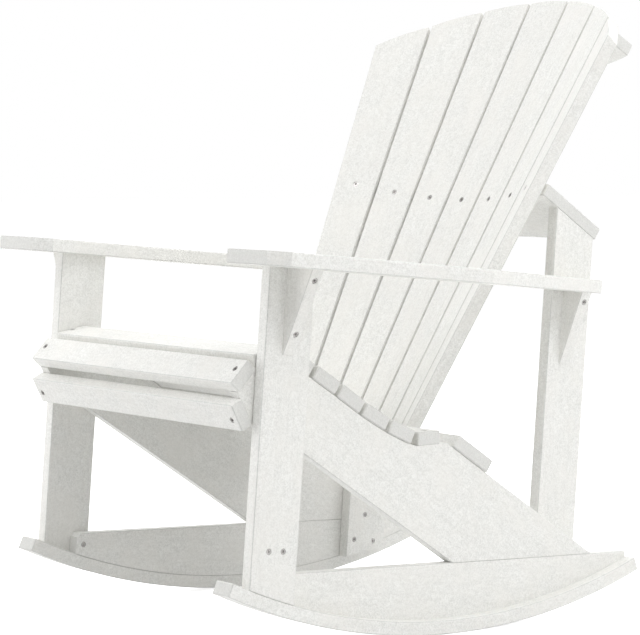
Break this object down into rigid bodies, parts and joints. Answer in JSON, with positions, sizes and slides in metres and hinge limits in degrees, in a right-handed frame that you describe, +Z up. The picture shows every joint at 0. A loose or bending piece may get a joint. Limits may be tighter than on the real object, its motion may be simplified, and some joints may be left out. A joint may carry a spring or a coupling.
{
  "type": "rocking chair",
  "caption": "Outdoor rocking armchair of flat white plastic-lumber boards with a reclined fan back, a dipped slatted seat, wide level arms and curved runners.",
  "frame": {"origin": "middle of the outline at floor level: the lowest point of the runners is at z = 0, and x = y = 0 is the middle of the bounding box", "axes": "+Z up, -Y the way the sitter faces, +X to the sitter's left; the chair stands as it rests, leaning back about 4.2 degrees on its runners"},
  "size_m": [0.8224, 0.917, 1.0292],
  "materials": {
    "board": "off-white recycled-plastic lumber, brushed and lightly mottled",
    "screw": "stainless"
  },
  "bodies": {
    "root": {"arm_bracket_front_left": "board", "arm_bracket_front_right": "board", "arm_bracket_rear_left": "board", "arm_bracket_rear_right": "board", "arm_left": "board", "arm_right": "board", "back_slat_1": "board", "back_slat_2": "board", "back_slat_3": "board", "back_slat_4": "board", "back_slat_5": "board", "back_slat_6": "board", "back_slat_7": "board", "front_leg_left": "board", "front_leg_right": "board", "rail_lower": "board", "rail_middle": "board", "rail_top": "board", "rear_leg_left": "board", "rear_leg_right": "board", "rocker_board_left": "board", "rocker_board_right": "board", "runner_left": "board", "runner_right": "board", "seat_slat_1": "board", "seat_slat_2": "board", "seat_slat_3": "board", "seat_slat_4": "board", "seat_slat_5": "board", "seat_slat_6": "board", "seat_slat_7": "board", "seat_slat_nose_lower": "board", "seat_slat_nose_upper": "board", "seat_stringer_left": "board", "seat_stringer_right": "board", "screws_arms_front": "screw", "screws_arms_rear": "screw", "screws_back_lower": "screw", "screws_back_middle": "screw", "screws_back_top": "screw", "screws_brackets_front": "screw", "screws_brackets_rear": "screw", "screws_front_legs": "screw", "screws_lower_rail": "screw", "screws_middle_rail": "screw", "screws_rear_legs": "screw", "screws_rocker_boards": "screw", "screws_runners": "screw", "screws_seat": "screw", "screws_stringers": "screw"}
  },
  "joints": []
}
